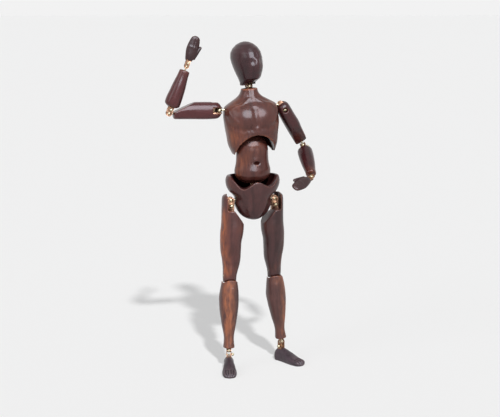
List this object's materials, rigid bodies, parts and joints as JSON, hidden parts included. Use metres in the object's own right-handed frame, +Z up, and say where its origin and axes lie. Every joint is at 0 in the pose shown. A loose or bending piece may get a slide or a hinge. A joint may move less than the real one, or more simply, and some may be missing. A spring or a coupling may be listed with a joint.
{
  "type": "artist drawing mannequin",
  "caption": "Carved wooden lay figure for artists, with brass ball-and-clamp joints, standing with one arm raised and the other forearm across the body.",
  "frame": {"origin": "on the floor under both soles, below the middle of the figure's outline", "axes": "+Z up; the figure faces -Y, so its raised right arm is at -X"},
  "size_m": [0.334, 0.1672, 0.7538],
  "materials": {
    "red_wood": "red-brown stain under worn gloss varnish",
    "dark_wood": "near-black mahogany stain under gloss varnish",
    "brass": "turned brass, dulled with age",
    "copper_plate": "copper-toned plate with tarnish"
  },
  "bodies": {
    "abdomen": {"abdomen": "red_wood", "lower_waist_clamp_screw": "brass", "lower_waist_clamp_yoke": "copper_plate"},
    "chest": {"chest": "red_wood", "upper_waist_clamp_screw": "brass", "upper_waist_clamp_yoke": "copper_plate"},
    "head": {"head": "dark_wood", "neck_clamp_screw": "brass", "neck_clamp_yoke": "copper_plate"},
    "left_ankle_stud": {"left_ankle_ball_stud": "brass"},
    "left_foot": {"left_ankle_clamp_screw": "brass", "left_ankle_clamp_yoke": "copper_plate", "left_foot": "dark_wood"},
    "left_elbow_stud": {"left_elbow_ball_stud": "brass"},
    "left_forearm": {"left_elbow_clamp_screw": "brass", "left_elbow_clamp_yoke": "copper_plate", "left_forearm": "dark_wood"},
    "left_hand": {"left_hand": "dark_wood", "left_wrist_clamp_screw": "brass", "left_wrist_clamp_yoke": "copper_plate"},
    "left_hip_stud": {"left_hip_ball_stud": "brass"},
    "left_thigh": {"left_hip_clamp_screw": "brass", "left_hip_clamp_yoke": "copper_plate", "left_knee_pin": "brass", "left_thigh": "red_wood"},
    "left_shank": {"left_shank": "red_wood"},
    "left_shoulder_stud": {"left_shoulder_ball_stud": "brass"},
    "left_upper_arm": {"left_shoulder_clamp_screw": "brass", "left_shoulder_clamp_yoke": "copper_plate", "left_upper_arm": "dark_wood"},
    "left_wrist_stud": {"left_wrist_ball_stud": "brass"},
    "lower_waist_stud": {"lower_waist_ball_stud": "brass"},
    "neck_stud": {"neck_ball_stud": "brass"},
    "pelvis": {"pelvis": "red_wood"},
    "right_ankle_stud": {"right_ankle_ball_stud": "brass"},
    "right_foot": {"right_ankle_clamp_screw": "brass", "right_ankle_clamp_yoke": "copper_plate", "right_foot": "dark_wood"},
    "right_elbow_stud": {"right_elbow_ball_stud": "brass"},
    "right_forearm": {"right_elbow_clamp_screw": "brass", "right_elbow_clamp_yoke": "copper_plate", "right_forearm": "dark_wood"},
    "right_hand": {"right_hand": "dark_wood", "right_wrist_clamp_screw": "brass", "right_wrist_clamp_yoke": "copper_plate"},
    "right_hip_stud": {"right_hip_ball_stud": "brass"},
    "right_thigh": {"right_hip_clamp_screw": "brass", "right_hip_clamp_yoke": "copper_plate", "right_knee_pin": "brass", "right_thigh": "red_wood"},
    "right_shank": {"right_shank": "red_wood"},
    "right_shoulder_stud": {"right_shoulder_ball_stud": "brass"},
    "right_upper_arm": {"right_shoulder_clamp_screw": "brass", "right_shoulder_clamp_yoke": "copper_plate", "right_upper_arm": "dark_wood"},
    "right_wrist_stud": {"right_wrist_ball_stud": "brass"},
    "upper_waist_stud": {"upper_waist_ball_stud": "brass"}
  },
  "joints": [
    {"name": "left_hip_twist", "type": "hinge", "parent": "pelvis", "child": "left_hip_stud", "pos_m": [0.07936, 0.02998, 0.39234], "axis": [-1, 0, 0], "range_deg": [-60, 60]},
    {"name": "lower_waist_twist", "type": "hinge", "parent": "pelvis", "child": "lower_waist_stud", "pos_m": [0.02836, 0.02998, 0.43234], "axis": [0, 0, -1], "range_deg": [-15, 15]},
    {"name": "right_hip_twist", "type": "hinge", "parent": "pelvis", "child": "right_hip_stud", "pos_m": [-0.02264, 0.02998, 0.39234], "axis": [1, 0, 0], "range_deg": [-60, 60]},
    {"name": "left_hip_swing", "type": "hinge", "parent": "left_hip_stud", "child": "left_thigh", "pos_m": [0.07936, 0.02998, 0.39234], "axis": [0.0034, -0.9942, -0.1072], "range_deg": [-8, 30]},
    {"name": "lower_waist_swing", "type": "hinge", "parent": "lower_waist_stud", "child": "abdomen", "pos_m": [0.02836, 0.02998, 0.43234], "axis": [0, -1, 0], "range_deg": [-8, 8]},
    {"name": "right_hip_swing", "type": "hinge", "parent": "right_hip_stud", "child": "right_thigh", "pos_m": [-0.02264, 0.02998, 0.39234], "axis": [-0.0001, -0.9999, -0.0115], "range_deg": [-30, 8]},
    {"name": "left_knee_bend", "type": "hinge", "parent": "left_thigh", "child": "left_shank", "pos_m": [0.08481, 0.04832, 0.22241], "axis": [0.9995, -0.0034, 0.0317], "range_deg": [0, 95]},
    {"name": "right_knee_bend", "type": "hinge", "parent": "right_thigh", "child": "right_shank", "pos_m": [-0.02461, 0.03195, 0.22136], "axis": [0.9999, 0.0001, -0.0115], "range_deg": [0, 95]},
    {"name": "upper_waist_twist", "type": "hinge", "parent": "abdomen", "child": "upper_waist_stud", "pos_m": [0.02632, 0.02998, 0.54932], "axis": [0.0175, 0, -0.9998], "range_deg": [-10, 10]},
    {"name": "left_ankle_twist", "type": "hinge", "parent": "left_shank", "child": "left_ankle_stud", "pos_m": [0.10886, 0.06748, 0.045], "axis": [-0.1336, -0.1064, 0.9853], "range_deg": [-40, 40]},
    {"name": "right_ankle_twist", "type": "hinge", "parent": "right_shank", "child": "right_ankle_stud", "pos_m": [-0.02664, 0.03398, 0.045], "axis": [0.0115, -0.0115, 0.9999], "range_deg": [-40, 40]},
    {"name": "upper_waist_swing", "type": "hinge", "parent": "upper_waist_stud", "child": "chest", "pos_m": [0.02632, 0.02998, 0.54932], "axis": [0.9976, 0, 0.0698], "range_deg": [-4, 7]},
    {"name": "left_ankle_swing", "type": "hinge", "parent": "left_ankle_stud", "child": "left_foot", "pos_m": [0.10886, 0.06748, 0.045], "axis": [-0.866, -0.5, 0], "range_deg": [-25, 25]},
    {"name": "left_shoulder_twist", "type": "hinge", "parent": "chest", "child": "left_shoulder_stud", "pos_m": [0.0938, 0.02998, 0.60216], "axis": [-0.9976, 0, -0.0698], "range_deg": [-6, 90]},
    {"name": "neck_twist", "type": "hinge", "parent": "chest", "child": "neck_stud", "pos_m": [0.01973, 0.02998, 0.64359], "axis": [0.0698, 0, -0.9976], "range_deg": [-70, 70]},
    {"name": "right_ankle_swing", "type": "hinge", "parent": "right_ankle_stud", "child": "right_foot", "pos_m": [-0.02664, 0.03398, 0.045], "axis": [0.9744, -0.225, 0], "range_deg": [-25, 25]},
    {"name": "right_shoulder_twist", "type": "hinge", "parent": "chest", "child": "right_shoulder_stud", "pos_m": [-0.04785, 0.02998, 0.59225], "axis": [0.9976, 0, 0.0698], "range_deg": [-90, 90]},
    {"name": "left_shoulder_swing", "type": "hinge", "parent": "left_shoulder_stud", "child": "left_upper_arm", "pos_m": [0.0938, 0.02998, 0.60216], "axis": [-0.0302, -0.9904, -0.135], "range_deg": [0, 70]},
    {"name": "neck_swing", "type": "hinge", "parent": "neck_stud", "child": "head", "pos_m": [0.01973, 0.02998, 0.64359], "axis": [0.9415, 0.3267, 0.0824], "range_deg": [-18, 18]},
    {"name": "right_shoulder_swing", "type": "hinge", "parent": "right_shoulder_stud", "child": "right_upper_arm", "pos_m": [-0.04785, 0.02998, 0.59225], "axis": [0.01, 0, 1], "range_deg": [-15, 55]},
    {"name": "left_elbow_twist", "type": "hinge", "parent": "left_upper_arm", "child": "left_elbow_stud", "pos_m": [0.15211, 0.04611, 0.50777], "axis": [-0.5192, -0.0999, 0.8488], "range_deg": [-6, 45]},
    {"name": "right_elbow_twist", "type": "hinge", "parent": "right_upper_arm", "child": "right_elbow_stud", "pos_m": [-0.1599, 0.02998, 0.58837], "axis": [0.9999, 0, -0.01], "range_deg": [-15, 15]},
    {"name": "left_elbow_swing", "type": "hinge", "parent": "left_elbow_stud", "child": "left_forearm", "pos_m": [0.15211, 0.04611, 0.50777], "axis": [0.8056, -0.3888, 0.4471], "range_deg": [-28, 65]},
    {"name": "right_elbow_swing", "type": "hinge", "parent": "right_elbow_stud", "child": "right_forearm", "pos_m": [-0.1599, 0.02998, 0.58837], "axis": [-0.0007, -0.9972, -0.0744], "range_deg": [-4, 100]},
    {"name": "left_wrist_twist", "type": "hinge", "parent": "left_forearm", "child": "left_wrist_stud", "pos_m": [0.1429, -0.04275, 0.44708], "axis": [0.0853, 0.8228, 0.5619], "range_deg": [-80, 80]},
    {"name": "right_wrist_twist", "type": "hinge", "parent": "right_forearm", "child": "right_wrist_stud", "pos_m": [-0.12166, 0.02244, 0.68909], "axis": [-0.3541, 0.0698, -0.9326], "range_deg": [-80, 80]},
    {"name": "left_wrist_swing", "type": "hinge", "parent": "left_wrist_stud", "child": "left_hand", "pos_m": [0.1429, -0.04275, 0.44708], "axis": [0.1789, -0.6072, 0.7741], "range_deg": [-40, 45]},
    {"name": "right_wrist_swing", "type": "hinge", "parent": "right_wrist_stud", "child": "right_hand", "pos_m": [-0.12166, 0.02244, 0.68909], "axis": [-0.0259, -0.9968, -0.076], "range_deg": [-40, 45]}
  ]
}
